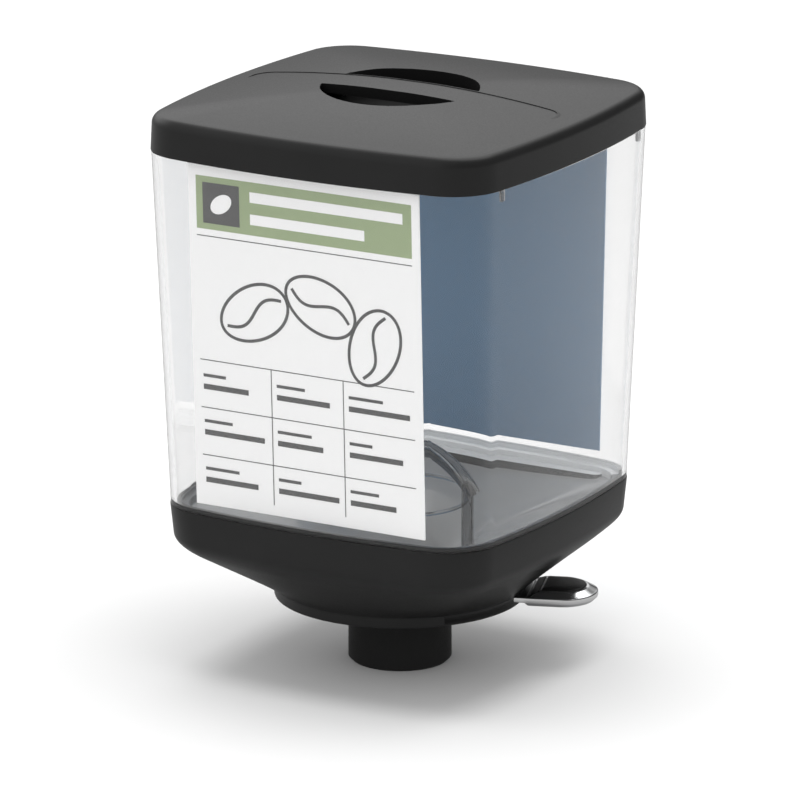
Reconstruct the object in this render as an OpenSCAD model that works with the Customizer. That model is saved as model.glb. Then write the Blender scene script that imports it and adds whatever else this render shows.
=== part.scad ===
// Bean hopper of an espresso grinder: clear square bin, black lid and base, rotary shutter and neck.
// Millimetres. +Z is up, and the origin is on the neck's axis at its lower end.

/* [Lid] */
// Width of the lid across its lower edge
lid_w = 190; // [180:1:210]
// How far the lid's sides bow out
lid_bow = 4.7; // [3:0.1:6]
// Corner radius of the lid
lid_corner_r = 25.7; // [20:0.1:32]
// Height of the lid's straight skirt
lid_skirt_h = 12.4; // [9:0.1:18]
// How far the skirt draws in over its height
lid_draft = 0.6; // [0:0.1:1.5]
// Radius of the lid's upper edge
lid_edge_r = 4.8; // [3.5:0.1:8]
// Rise of the lid's crown above that edge
lid_crown_h = 7; // [4:0.1:12]
// Wall of the lid
lid_wall = 2.6; // [2:0.1:3.2]
// Width of the grip bar between the finger recesses
grip_bar_w = 22; // [16:0.5:28]
// Radius of the round recess that the grip bar crosses
recess_r = 37; // [32:0.5:44]
// Depth of the finger recesses below the crown
recess_depth = 14; // [10:0.5:16]
// Wall of the collar round the recesses
collar_wall = 2; // [1.5:0.1:3]
// Height of the pocket tray's rim inside that collar
pocket_rim_h = 3; // [2:0.1:4]

/* [Body] */
// Height of the clear body above the base
body_h = 169.1; // [140:0.5:200]
// Wall of the clear body
body_wall = 2.8; // [2:0.1:3.2]
// How far the body stands back from the lid and the base
body_step = 0.2; // [0.1:0.1:0.6]
// How far the lid's guides reach below the body's rim
guide_drop = 6; // [4:0.5:10]
// How far they reach up into the lid
guide_up = 6; // [4:0.5:7]
// Thickness of a guide across the wall
guide_t = 1.4; // [1:0.1:2]
// Width of a guide along the wall
guide_w = 2.6; // [2:0.1:4]
// Distance of the front guide from the start of the corner
guide_front_in = 7.9; // [2:0.1:12]
// Distance of the rear guide from the start of the corner
guide_rear_in = 1.3; // [1:0.1:12]

/* [Cards] */
// Width of a card
card_w = 121; // [100:1:122]
// Thickness of a card
card_t = 0.8; // [0.5:0.1:1.2]
// Height of a card's lower edge above the base
card_lift = 4.9; // [4:0.1:10]
// How much higher the rear card's lower edge stands than the front card's
rear_card_raise = 1.5; // [0:0.1:3]
// Distance of a card's upper edge below the body's rim
card_drop = 1.2; // [0.8:0.1:6]
// Gap between a card's side edges and the body's wall
card_gap = 1; // [0.8:0.1:2]
// Thickness of the clear panel behind a card
holder_t = 1.6; // [1:0.1:2]
// Width of the rails beside a card
holder_rail_w = 2.6; // [1.5:0.1:3]

/* [Base] */
// Width of the base at its upper edge
base_w = 178.2; // [172:0.2:186]
// How far the base's sides bow out
base_bow = 3.9; // [3:0.1:6]
// Corner radius of the base
base_corner_r = 27; // [24:0.5:32]
// Height of the base above the neck
base_h = 50.8; // [48:0.2:60]
// Wall of the base
base_wall = 2.6; // [2:0.1:3.2]
// Height of the base's upright side
base_side_h = 15; // [10:0.5:18]
// How far that side draws in
base_draft = 0.9; // [0.4:0.1:2]
// Height of the round below the side
base_round_h = 10.2; // [7:0.1:12]
// How far the round reaches in
base_round_in = 7.4; // [5:0.1:9]
// Height of the lip inside the body's wall
lip_h = 3; // [2:0.1:4]
// Thickness of that lip
lip_t = 1.8; // [1.4:0.1:2.4]
// Diameter of the round turret below the base
turret_d = 118.1; // [114:0.5:122]
// Height of the turret's upright wall
turret_h = 4.7; // [4.4:0.1:5.5]
// Wall of the turret
turret_wall = 2.5; // [2:0.1:3]
// Height of the hollow blend above the turret
turret_blend_h = 7.9; // [6:0.1:9]
// How far that blend reaches out
turret_blend_out = 7.9; // [6:0.1:9]
// Thickness of the shoulder that the shutter seat is clamped to
shoulder_t = 3; // [2:0.1:4]
// Radius of the opening inside the shoulder
shoulder_r = 39; // [37:0.5:40]

/* [Funnel] */
// Width of the funnel's flat rim
tray_rim_w = 4; // [3:0.1:6]
// Step from the rim down to the funnel's floor
tray_step = 3; // [2:0.1:5]
// Wall of the funnel
tray_wall = 2.6; // [2:0.1:3.2]
// Half length of the ledge below each card
ledge_half = 65; // [64:0.5:68]
// Depth of that ledge from the rim's outer edge
ledge_depth = 12; // [9:0.5:15]
// Radius of the ledge's rounded ends
ledge_end_r = 4; // [2:0.5:6]
// Height of that ledge above the funnel's outer edge
ledge_lift = 0.4; // [0.2:0.1:1]
// Height of the bosses below the funnel's corners
funnel_boss_h = 9; // [8.5:0.5:11]
// Inner radius of the funnel's spout
spout_r = 23; // [21.5:0.1:25]
// Wall of the spout
spout_wall = 2.4; // [2:0.1:3]
// Height of the spout's straight part
spout_h = 4.4; // [3.5:0.1:6]
// Height of the seal below the spout
seal_h = 2; // [1.5:0.1:3]

/* [Finger guard] */
// Distance of the guard's legs from the axis
guard_leg_r = 37.5; // [35:0.1:38]
// Thickness of a leg
guard_leg_t = 5; // [4.6:0.1:6]
// Width of a leg
guard_leg_w = 5; // [4.6:0.1:8]
// Width of the guard's arch
guard_w = 10; // [8:0.5:18]
// Thickness of the guard's arch
guard_t = 3.5; // [2.5:0.1:5]
// Height of the arch's top above the base's upper edge
guard_top = 24.7; // [22:0.1:32]
// Rise of the arch from its ends to its top
guard_rise = 21.3; // [18:0.1:26]
// How far the arch's ends stand past the legs
guard_lip = 3; // [0.5:0.1:5]
// Thickness of the ring between the legs
guard_ring_t = 1.5; // [1.2:0.1:4]
// Distance of the ring's top below the base's upper edge
guard_ring_drop = 2.5; // [1:0.5:6]
// How far the guard's bosses stand above the funnel's floor
guard_boss_up = 1.8; // [1.8:0.1:4]
// Height of those bosses
guard_boss_h = 10; // [9:0.5:11]

/* [Shutter] */
// Thickness of the outlet plate under the shutter
outlet_plate_t = 1.9; // [1.7:0.1:2.2]
// Thickness of the shutter disc and the lever's tongue
shutter_t = 2.6; // [2.4:0.1:3]
// Diameter of the shutter disc
shutter_d = 68; // [62:0.5:70]
// Thickness of the fixed seat
seat_t = 2; // [1.6:0.1:2.6]
// Number of windows
window_count = 4; // [4:1:4]
// Angle that a window spans
window_angle = 38; // [30:0.5:38.5]
// Radius of the hub inside the windows
hub_r = 7; // [6.5:0.1:8]
// Width of the hub outside the pivot's head
hub_rim = 1.5; // [1:0.1:2]
// How far the shutter turns between open and shut
shutter_travel = 41; // [40:0.5:42]
// Diameter of the pivot
pivot_d = 6; // [5:0.1:7]
// Height of the pivot's head
pivot_head_h = 3; // [2:0.1:3.5]
// Thickness of the pivot's washer
pivot_washer_t = 0.8; // [0.5:0.1:1.2]
// Height of the pivot's nut
pivot_nut_h = 3.2; // [2.4:0.1:4]

/* [Lever] */
// Width of the lever
lever_w = 33.6; // [28:0.2:34]
// Distance of the lever's tip from the axis
lever_reach = 93.8; // [88:0.2:94.5]
// Height of the lever's bevel above its tongue
lever_bevel_h = 2.2; // [1.5:0.1:2.4]
// How far the bevel reaches in
lever_bevel_in = 4.4; // [3:0.1:6]
// How far the lever's rim hangs below its tongue
lever_rim_h = 1.9; // [1:0.1:2.2]
// How far the pad stands above the bevel
pad_rise = 1.2; // [0.6:0.1:1.4]
// Depth of the pad's seat in the lever
pad_depth = 1.2; // [0.8:0.1:1.6]
// Width of the flat round the pad
pad_margin = 0.8; // [0.5:0.1:1.5]
// Gap between the turret and the lever's blade
lever_root_gap = 2; // [1.5:0.1:3]
// How far the bevel's root stands back from the blade's root
bevel_back = 2.3; // [1.5:0.1:3]
// How much narrower the lapped tongue is at each side
lap_inset = 4; // [3:0.1:6]
// Diameter of a rivet
rivet_d = 3.2; // [2.6:0.1:3.6]
// Spare angle at each end of the lever's slot
slot_spare = 2.5; // [2:0.1:4]

/* [Neck] */
// Outer diameter of the neck
neck_d = 48.6; // [46:0.1:52]
// Bore of the neck
neck_bore_d = 42; // [38:0.1:44]
// Length of the neck below the turret
neck_h = 32.3; // [28:0.1:40]
// Chamfer at the neck's lower edge
neck_chamfer = 1.6; // [0.8:0.1:2]

/* [Screws] */
// Diameter of a screw's shank
screw_d = 3.5; // [3:0.1:4]
// Diameter of a screw's head
screw_head_d = 6.8; // [6:0.1:7.4]
// Height of a screw's head
screw_head_h = 2.4; // [2:0.1:2.8]
// Diameter of the guard's thinner screws
guard_screw_d = 2.6; // [2.4:0.1:3]
// Diameter of a screw boss
boss_d = 9.4; // [8.8:0.1:10.5]
// Distance of the outlet screws from the axis
outlet_screw_r = 46; // [45:0.2:47]
// Distance of the funnel screws from each middle plane
funnel_screw_pos = 60; // [58:0.5:62]
// Depth of the counterbores for the funnel screws
corner_bore_h = 5.5; // [4.5:0.1:7]
// How far a funnel screw reaches into its boss
corner_bite = 8; // [6:0.1:8]

/* [Fits] */
// Gap between pieces that are assembled and stay put
fit_gap = 0.15; // [0.1:0.05:0.3]
// Radial gap of the shutter on its pivot
running_gap = 0.05; // [0.02:0.01:0.1]
// Gap above and below the turning shutter
shutter_gap = 0.4; // [0.35:0.05:0.6]
// Gap above and below the lever in its slot
slot_gap = 0.3; // [0.2:0.05:0.35]
// Gap between the lid's guides and the rim of the body's wall
guide_gap = 0.35; // [0.3:0.05:0.5]

/* [Hidden] */
$fn = 96;
// overshoot of a cut past the face that it opens
cut = 1;
// points along a side and along a corner of the square outline
side_steps = 6;
corner_steps = 8;

// heights from the neck's lower end up
z_plate_top = neck_h + outlet_plate_t;
z_disc = z_plate_top + shutter_gap;
z_disc_top = z_disc + shutter_t;
z_seat = z_disc_top + shutter_gap;
z_seat_top = z_seat + seat_t;
z_spout = z_seat_top + seal_h;
z_throat = z_spout + spout_h;
z_seam = neck_h + base_h;
z_floor = z_seam - tray_step;
z_rim = z_seam + body_h;
z_edge = z_rim + lid_skirt_h;
z_crown_foot = z_edge + lid_edge_r;
z_crown = z_crown_foot + lid_crown_h;
z_pocket = z_crown - recess_depth;

// half widths and radii
lid_half = lid_w / 2;
base_half = base_w / 2;
body_top_half = lid_half - body_step;
body_low_half = base_half - body_step;
lip_half = body_low_half - body_wall - fit_gap;
lip_inner_half = lip_half - lip_t;
tray_half = lip_inner_half - fit_gap;
floor_half = tray_half - tray_rim_w;
turret_r = turret_d / 2;
turret_bore_r = turret_r - turret_wall;
plate_r = turret_bore_r - fit_gap;
neck_r = neck_d / 2;
window_r = neck_bore_d / 2;
shutter_r = shutter_d / 2;
screw_r = screw_d / 2;
screw_hole_r = screw_r + fit_gap;
screw_head_r = screw_head_d / 2;
boss_r = boss_d / 2;
pivot_r = pivot_d / 2;

// radius of the arc along a bowed side
function side_radius(half, bow, corner) =
    let (h = half - corner) (h * h + bow * bow) / (2 * bow);

// distance of a bowed side from the middle plane, at a place along it
function side_at(half, bow, corner, along) =
    let (r = side_radius(half, bow, corner)) half - r + sqrt(r * r - along * along);

// outline of a square with bowed sides and round corners
function square_outline(half, bow, corner) =
    let (r = side_radius(half, bow, corner),
         b = half - r,
         k = (2 * b + sqrt(4 * b * b - 8 * (b * b - pow(r - corner, 2)))) / 4,
         t = atan2(k, k - half + r),
         quarter = concat(
             [for (i = [0 : side_steps - 1])
                 let (a = -t + 2 * t * i / side_steps) [r * sin(a), r - half - r * cos(a)]],
             [for (i = [0 : corner_steps - 1])
                 let (a = t + (90 - 2 * t) * i / corner_steps)
                 [k + corner * sin(a), -k - corner * cos(a)]]))
    [for (turn = [0 : 90 : 270], p = quarter)
        [p.x * cos(turn) - p.y * sin(turn), p.x * sin(turn) + p.y * cos(turn)]];

// how far an outline reaches along its diagonal
function corner_reach(outline) = norm(outline[side_steps + corner_steps / 2]);

// the square outline set in by a distance, at a height
function ring(half, bow, corner, inset, z) =
    [for (p = square_outline(half - inset, bow, corner - inset)) [p.x, p.y, z]];
function lid_ring(inset, z) = ring(lid_half, lid_bow, lid_corner_r, inset, z);
function base_ring(inset, z) = ring(base_half, base_bow, base_corner_r, inset, z);

// an outline part of the way to a circle, point by point
function morph_ring(outline, radius, share, z) =
    [for (p = outline)
        let (q = p * (1 - share) + p / norm(p) * radius * share) [q.x, q.y, z]];

// point on a curve that leaves a towards c and arrives at b from c
function curve_point(a, c, b, t) = a * (1 - t) * (1 - t) + c * 2 * t * (1 - t) + b * t * t;

// triangles between ring i and ring k of n points
function band(i, k, n) = [for (j = [0 : n - 1], half = [0, 1])
    half == 0 ? [i * n + j, k * n + j, k * n + (j + 1) % n]
              : [i * n + j, k * n + (j + 1) % n, i * n + (j + 1) % n]];

// solid through a stack of rings, lowest first
module loft(rings) {
    n = len(rings[0]);
    m = len(rings);
    polyhedron(
        points = [for (r = rings, p = r) p],
        faces = concat(
            [[for (j = [0 : n - 1]) j]],
            [[for (j = [n - 1 : -1 : 0]) (m - 1) * n + j]],
            [for (i = [0 : m - 2], f = band(i, i + 1, n)) f]));
}

// walled solid through a closed chain of rings: up the outside and down the inside
module loft_loop(rings) {
    n = len(rings[0]);
    m = len(rings);
    polyhedron(
        points = [for (r = rings, p = r) p],
        faces = [for (i = [0 : m - 1], f = band(i, (i + 1) % m, n)) f]);
}

// upright disc and ring between two heights
module disc(r, z0, z1) {
    translate([0, 0, z0]) cylinder(r = r, h = z1 - z0);
}
module tube(r_out, r_in, z0, z1) {
    difference() {
        disc(r_out, z0, z1);
        disc(r_in, z0 - cut, z1 + cut);
    }
}

// block centred on X and Y between two heights
module block(x, y, z0, z1) {
    translate([-x / 2, -y / 2, z0]) cube([x, y, z1 - z0]);
}

// upright prism over a wedge of the circle, centred on +X
module wedge(half_angle, r, z0, z1) {
    low = r * [cos(half_angle), -sin(half_angle)];
    high = r * [cos(half_angle), sin(half_angle)];
    translate([0, 0, z0]) linear_extrude(z1 - z0) polygon([[0, 0], low, [r, 0], high]);
}

// screw with its head below a seat and its shank above it
module screw_up(z, length, r, head_r, head_h) {
    disc(r, z - head_h / 2, z + length);
    disc(head_r, z - head_h, z);
}

// the lid's crown: rings shrink towards the middle as the crown rises
crown_shares = [1, 0.8, 0.6, 0.4, 0.2];
crown_inset = lid_draft + lid_edge_r;
crown_foot = square_outline(lid_half - crown_inset, lid_bow, lid_corner_r - crown_inset);

// the lid's outer form, or its hollow when set in by a wall
module lid_form(wall, z_low) {
    arc_r = lid_edge_r - wall;
    loft(concat(
        [lid_ring(wall, z_low)],
        [for (a = [0 : 15 : 75])
            lid_ring(crown_inset - arc_r * cos(a), z_edge + arc_r * sin(a))],
        [for (k = crown_shares)
            [for (p = crown_foot) [p.x * k, p.y * k, z_crown_foot - wall + lid_crown_h * (1 - k * k)]]]));
}

module lid_shell() {
    bar_t = lid_wall * 2;
    color("#2b2b2b") difference() {
        union() {
            difference() {
                lid_form(0, z_rim);
                lid_form(lid_wall, z_rim - cut);
            }
            intersection() {
                lid_form(0, z_rim);
                disc(recess_r + collar_wall, z_pocket, z_crown + cut);
            }
        }
        difference() {
            disc(recess_r, z_pocket - cut, z_crown + 2 * cut);
            block(2 * recess_r, grip_bar_w, z_crown - bar_t, z_crown + cut);
        }
    }
}

module lid_pocket_tray() {
    color("#161616") difference() {
        union() {
            disc(recess_r + collar_wall, z_pocket - collar_wall, z_pocket);
            disc(recess_r - fit_gap, z_pocket - collar_wall, z_pocket + pocket_rim_h);
        }
        disc(recess_r - fit_gap - collar_wall, z_pocket, z_pocket + pocket_rim_h + cut);
    }
}

module hopper_body() {
    color("#e8eef0", 0.3) loft_loop([
        ring(body_low_half, base_bow, base_corner_r, 0, z_seam),
        ring(body_top_half, lid_bow, lid_corner_r, 0, z_rim),
        ring(body_top_half, lid_bow, lid_corner_r, body_wall, z_rim),
        ring(body_low_half, base_bow, base_corner_r, body_wall, z_seam)]);
}

// start of the corner along a side, from the side's middle
corner_from = lid_half - lid_corner_r;

// clear guides on the inside of the body's right wall, which the lid's skirt drops over
module lid_guides() {
    color("#e8eef0", 0.3)
        for (y = [guide_front_in - corner_from, corner_from - guide_rear_in]) {
            face = side_at(body_top_half - body_wall, lid_bow, lid_corner_r - body_wall, abs(y) + guide_w / 2);
            translate([face - guide_gap - guide_t / 2, y, 0])
                block(guide_t, guide_w, z_rim - guide_drop, z_rim + guide_up);
        }
}

// cards lean with the body's drafted wall, which they near at their side edges
card_z0 = z_seam + card_lift;
card_z1 = z_rim - card_drop;
card_edge = card_w / 2;
wall_low = side_at(body_low_half - body_wall, base_bow, base_corner_r - body_wall, card_edge);
wall_top = side_at(body_top_half - body_wall, lid_bow, lid_corner_r - body_wall, card_edge);
lean = atan2(wall_top - wall_low, body_h);
card_h = (card_z1 - card_z0) / cos(lean);
card_y = wall_low + (wall_top - wall_low) * card_lift / body_h - card_gap;

// moves a shape from the card's own frame, with +Y inwards, to the front wall
module at_front() {
    translate([0, -card_y, card_z0]) rotate([lean, 0, 0]) children();
}
module card(raise = 0) {
    translate([-card_edge, 0, raise]) cube([card_w, card_t, card_h - raise]);
}

// clear panel behind a card, with a rail at each side and a stop below, which keep above the base's lip;
// a narrower foot inside the lip carries the panel on the funnel's rim
module card_holder(raise = 0) {
    back = card_t + fit_gap;
    stop = card_lift - lip_h - 2 * fit_gap;
    foot = card_lift - 2 * fit_gap;
    foot_half = card_edge - 2 * holder_rail_w;
    outer = card_edge + fit_gap + holder_rail_w;
    rail_y = fit_gap - card_gap / 2;
    rail_d = back - rail_y + holder_t / 2;
    translate([-outer, back, -stop]) cube([2 * outer, holder_t, card_h + stop]);
    translate([-foot_half, back, -foot]) cube([2 * foot_half, holder_t, foot]);
    translate([-outer, rail_y, -stop]) cube([2 * outer, rail_d, stop + raise - fit_gap]);
    for (x = [-outer, outer - holder_rail_w])
        translate([x, rail_y, -stop]) cube([holder_rail_w, rail_d, card_h + stop]);
}

module front_card() {
    color("#f3f3f3") at_front() card();
}
module rear_card() {
    color("#64778b") mirror([0, 1, 0]) at_front() card(rear_card_raise);
}
module front_card_holder() {
    color("#e8eef0", 0.3) at_front() card_holder();
}
module rear_card_holder() {
    color("#e8eef0", 0.3) mirror([0, 1, 0]) at_front() card_holder(rear_card_raise);
}

// the base's outline goes from the square (share 0) to the turret's circle (share 1) on the way down
morph_run = base_half - turret_r;
share_side = base_draft / morph_run;
share_round = base_round_in / morph_run;
share_blend = 1 - turret_blend_out / morph_run;
z_side = z_seam - base_side_h;
z_round = z_side - base_round_h;
z_turret = neck_h + turret_h;
z_blend = z_turret + turret_blend_h;
side_slope = share_side / base_side_h;
under_slope = (share_blend - share_round) / (z_round - z_blend);
// the round's control point lies where the side's line meets the underside's line
z_round_ctrl = (side_slope * z_seam - share_round - under_slope * z_round) / (side_slope - under_slope);
round_ctrl = [side_slope * (z_seam - z_round_ctrl), z_round_ctrl];
blend_ctrl = [1, z_blend - (1 - share_blend) / under_slope];
curve_steps = 6;
base_line = concat(
    [[0, z_seam]],
    [for (i = [0 : curve_steps])
        curve_point([share_side, z_side], round_ctrl, [share_round, z_round], i / curve_steps)],
    [for (i = [0 : curve_steps])
        curve_point([share_blend, z_blend], blend_ctrl, [1, z_turret], i / curve_steps)]);
base_outline = square_outline(base_half, base_bow, base_corner_r);

// the sloping underside is lifted by a little more than its wall
under_lift = 1.2;

// a ring of the base's outside, or of its inside when set in by a wall
function base_line_ring(i, wall) =
    let (outline = square_outline(base_half - wall, base_bow, base_corner_r - wall),
         share = base_line[i][0],
         lift = under_lift * wall * min(1, share / share_round))
    morph_ring(outline, turret_r - wall, share, base_line[i][1] + lift);

// the base's form filled solid, set in by a distance
module base_form(inset) {
    loft(concat(
        [morph_ring(base_outline, turret_r - inset, 1, neck_h)],
        [for (i = [len(base_line) - 1 : -1 : 0]) base_line_ring(i, inset)]));
}
module base_skin() {
    loft_loop(concat(
        [morph_ring(base_outline, turret_r, 1, neck_h)],
        [for (i = [len(base_line) - 1 : -1 : 0]) base_line_ring(i, 0)],
        [for (z = [z_seam, z_seam + lip_h]) base_ring(base_half - lip_half, z)],
        [for (z = [z_seam + lip_h, z_seam - 2 * lip_h]) base_ring(base_half - lip_inner_half, z)],
        [base_ring(base_wall + base_draft, z_seam - 3 * lip_h)],
        [for (i = [1 : len(base_line) - 1]) base_line_ring(i, base_wall)],
        [morph_ring(base_outline, turret_bore_r - cut / 2, 1, neck_h)]));
}

// the funnel's floor falls faster towards the spout: its height goes with a power of the run
floor_power = 0.55;
floor_steps = 10;
floor_spread = 1.6;
floor_shares = [for (i = [0 : floor_steps]) pow(i / floor_steps, floor_spread)];
floor_outline = square_outline(floor_half, base_bow, base_corner_r - base_half + floor_half);
function floor_z(share) = z_throat + (z_floor - z_throat) * pow(share, floor_power);
function floor_z_on_axis(r) = floor_z((r - spout_r) / (floor_half - spout_r));
function floor_ring(share, radius, drop) =
    morph_ring(floor_outline, radius, 1 - share, floor_z(share) - drop);

// the screws at two opposite corners pass from the base's underside, at a height of its own there,
// into the funnel
corner_screw_r = funnel_screw_pos * sqrt(2);
corner_share = (corner_reach(base_outline) - corner_screw_r) / (corner_reach(base_outline) - turret_r);
z_corner_under = z_round - (corner_share - share_round) / under_slope;
z_corner_seat = z_corner_under + corner_bore_h;
corner_floor_share = (corner_screw_r - spout_r) / (corner_reach(floor_outline) - spout_r);
z_corner_floor = floor_z(corner_floor_share);
z_post_top = z_corner_floor - tray_wall - funnel_boss_h;
corner_screw_len = z_post_top - z_corner_seat + corner_bite;
module at_corners() {
    for (s = [-1, 1]) translate([s * funnel_screw_pos, s * funnel_screw_pos, 0]) children();
}

// the outlet screws keep clear of the lever's sweep
outlet_screw_angles = [60, 140, 220, 300];
outlet_screw_len = 16;
outlet_boss_h = 12;
module at_outlet_screws() {
    for (a = outlet_screw_angles) rotate([0, 0, a]) translate([outlet_screw_r, 0, 0]) children();
}

module base_housing() {
    color("#333333") difference() {
        union() {
            base_skin();
            intersection() {
                base_form(base_wall / 2);
                union() {
                    tube(base_half, shoulder_r, z_seat_top, z_seat_top + shoulder_t);
                    at_corners() disc(boss_r, neck_h, z_post_top);
                    at_outlet_screws() disc(boss_r, z_seat_top, z_seat_top + outlet_boss_h);
                }
            }
        }
        disc(turret_bore_r, neck_h - cut, z_seat_top);
        wedge(slot_half_angle, base_half, z_disc - slot_gap, z_disc_top + slot_gap);
        at_outlet_screws() disc(screw_hole_r, z_seat_top - cut, z_seat_top + outlet_boss_h - cut);
        at_corners() disc(screw_hole_r, neck_h, z_post_top + cut);
        at_corners() disc(screw_head_r + fit_gap, neck_h, z_corner_seat);
    }
}

module funnel_skin() {
    loft_loop(concat(
        [for (z = [z_floor - tray_wall, z_seam]) base_ring(base_half - tray_half, z)],
        [base_ring(base_half - floor_half, z_seam)],
        [for (i = [floor_steps : -1 : 0]) floor_ring(floor_shares[i], spout_r, 0)],
        [for (r = [spout_r, spout_r + spout_wall]) morph_ring(floor_outline, r, 1, z_spout)],
        [for (s = floor_shares) floor_ring(s, spout_r + spout_wall, tray_wall)]));
}

// the space above the middle of the funnel's wall, which what is joined to the funnel starts or ends at
module above_floor() {
    drop = tray_wall / 2;
    wide = square_outline(floor_half + drop, base_bow, base_corner_r - base_half + floor_half + drop);
    loft(concat(
        [for (s = floor_shares) morph_ring(wide, spout_r + drop, 1 - s, floor_z(s) - drop)],
        [[for (p = wide) [p.x, p.y, z_seam + cut]]]));
}

// raised ledges below the cards, with rounded ends
module ledges() {
    end_x = ledge_half - ledge_end_r;
    inner_y = tray_half - ledge_depth;
    mid_y = inner_y + ledge_depth / 2;
    z_low = floor_z_on_axis(inner_y) - tray_wall;
    z_top = z_floor + ledge_lift;
    intersection() {
        above_floor();
        for (turn = [0, 180]) rotate([0, 0, turn]) {
            translate([0, mid_y + ledge_end_r, 0]) block(2 * ledge_half, ledge_depth, z_low, z_top);
            translate([0, mid_y, 0]) block(2 * end_x, ledge_depth, z_low, z_top);
            for (x = [-end_x, end_x])
                translate([x, inner_y + ledge_end_r, 0]) disc(ledge_end_r, z_low, z_top);
        }
    }
}

module funnel_tray() {
    color("#55585a") difference() {
        union() {
            funnel_skin();
            ledges();
            difference() {
                at_corners() disc(boss_r, z_post_top, z_seam - tray_step);
                above_floor();
            }
            at_guard_legs() disc(boss_r, z_guard_screw, z_guard_foot);
        }
        at_corners() disc(screw_hole_r, z_post_top - cut, z_post_top + funnel_boss_h);
        at_guard_legs() disc(guard_screw_r + fit_gap, z_guard_screw - cut, z_guard_foot + cut);
    }
}

module funnel_screws() {
    color("#c8c8c8") at_corners()
        screw_up(z_corner_seat, corner_screw_len, screw_r, screw_head_r, screw_head_h);
}

// the guard stands on two bosses of the funnel
guard_screw_r = guard_screw_d / 2;
guard_screw_bite = 6;
guard_screw_len = guard_boss_h + guard_screw_bite;
z_guard_foot = floor_z_on_axis(guard_leg_r) + guard_boss_up;
z_guard_screw = z_guard_foot - guard_boss_h;
z_guard_top = z_seam + guard_top;
z_guard_ends = z_guard_top - guard_rise;
guard_half = guard_leg_r + guard_leg_t / 2 + guard_lip;
guard_arch_r = (guard_half * guard_half + guard_rise * guard_rise) / (2 * guard_rise);
z_guard_axis = z_guard_top - guard_arch_r;
module at_guard_legs() {
    for (s = [-1, 1]) translate([s * guard_leg_r, 0, 0]) children();
}
module across(r, length) {
    translate([0, 0, z_guard_axis]) rotate([90, 0, 0]) cylinder(r = r, h = length, center = true);
}

module finger_guard() {
    ring_r = guard_leg_r - guard_leg_t / 2;
    z_ring = z_seam - guard_ring_drop;
    color("#e8eef0", 0.4) difference() {
        union() {
            intersection() {
                difference() {
                    across(guard_arch_r, guard_w);
                    across(guard_arch_r - guard_t, guard_w + cut);
                }
                block(2 * guard_half, guard_w + cut, z_guard_ends, z_guard_top + cut);
            }
            intersection() {
                across(guard_arch_r - guard_t / 2, guard_w + cut);
                at_guard_legs() block(guard_leg_t, guard_leg_w, z_guard_foot, z_guard_top);
            }
            tube(ring_r + guard_ring_t / 4, ring_r - guard_ring_t, z_ring - guard_ring_t, z_ring);
        }
        at_guard_legs()
            disc(guard_screw_r + fit_gap, z_guard_foot - cut, z_guard_foot + guard_screw_bite + cut);
    }
}

module guard_screws() {
    color("#c8c8c8") at_guard_legs()
        screw_up(z_guard_screw, guard_screw_len, guard_screw_r, screw_head_r, screw_head_h);
}

module spout_seal() {
    color("#1b1b1b") tube(spout_r + spout_wall, spout_r, z_seat_top, z_spout);
}

// windows that the seat and the shutter share
module windows(z0, z1) {
    for (i = [0 : window_count - 1]) rotate([0, 0, i * 360 / window_count]) intersection() {
        tube(window_r, hub_r, z0, z1);
        wedge(window_angle / 2, 2 * window_r, z0, z1);
    }
}

module shutter_seat() {
    color("#2f2f2f") difference() {
        disc(plate_r, z_seat, z_seat_top);
        windows(z_seat - cut, z_seat_top + cut);
        disc(pivot_r + running_gap, z_seat - cut, z_seat_top + cut);
        at_outlet_screws() disc(screw_hole_r, z_seat - cut, z_seat_top + cut);
    }
}

// the lever stands half the travel to one side of +X at rest, and overlaps the disc's arm
lever_angle = shutter_travel / 2;
lever_half = lever_w / 2;
lever_tip_x = lever_reach - lever_half;
lever_root_x = turret_r + lever_root_gap;
lap_x = shutter_r + slot_gap;
lap_end_x = turret_bore_r - lap_inset;
lap_half = lever_half - lap_inset;
z_lap = z_disc + shutter_t / 2;
z_lever_top = z_disc_top + lever_bevel_h;
slot_half_angle = lever_angle + asin(lever_half / turret_r) + slot_spare;
rivet_r = rivet_d / 2;
rivet_head_h = 0.6;
rivet_head_r = rivet_r + 2 * rivet_head_h;
rivet_inset = 2 * rivet_head_r;
module at_rivets() {
    for (x = [lap_x + rivet_inset, lap_end_x - rivet_inset]) translate([x, 0, 0]) children();
}

// rivet with a countersunk head at each end, or its hole when grown
module rivet(grow) {
    disc(rivet_r + grow, z_disc, z_disc_top);
    translate([0, 0, z_disc]) cylinder(r1 = rivet_head_r + grow, r2 = rivet_r + grow, h = rivet_head_h);
    translate([0, 0, z_disc_top - rivet_head_h])
        cylinder(r1 = rivet_r + grow, r2 = rivet_head_r + grow, h = rivet_head_h);
}

module shutter_disc() {
    color("#3a3a3a") rotate([0, 0, lever_angle]) difference() {
        union() {
            disc(shutter_r, z_disc, z_disc_top);
            translate([lap_end_x / 2, 0, 0]) block(lap_end_x, 2 * lap_half, z_disc, z_lap - running_gap);
        }
        rotate([0, 0, -lever_angle]) windows(z_disc - cut, z_disc_top + cut);
        disc(pivot_r + running_gap, z_disc - cut, z_disc_top + cut);
        at_rivets() rivet(running_gap);
    }
}

// outline of the lever's blade, set in by a distance, with its root at a place of its own
tip_steps = 16;
function blade_ring(root, inset, z) =
    let (r = lever_half - inset)
    concat([[root, -r, z]],
           [for (i = [0 : tip_steps])
               let (a = -90 + 180 * i / tip_steps) [lever_tip_x + r * cos(a), r * sin(a), z]],
           [[root, r, z]]);

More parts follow.
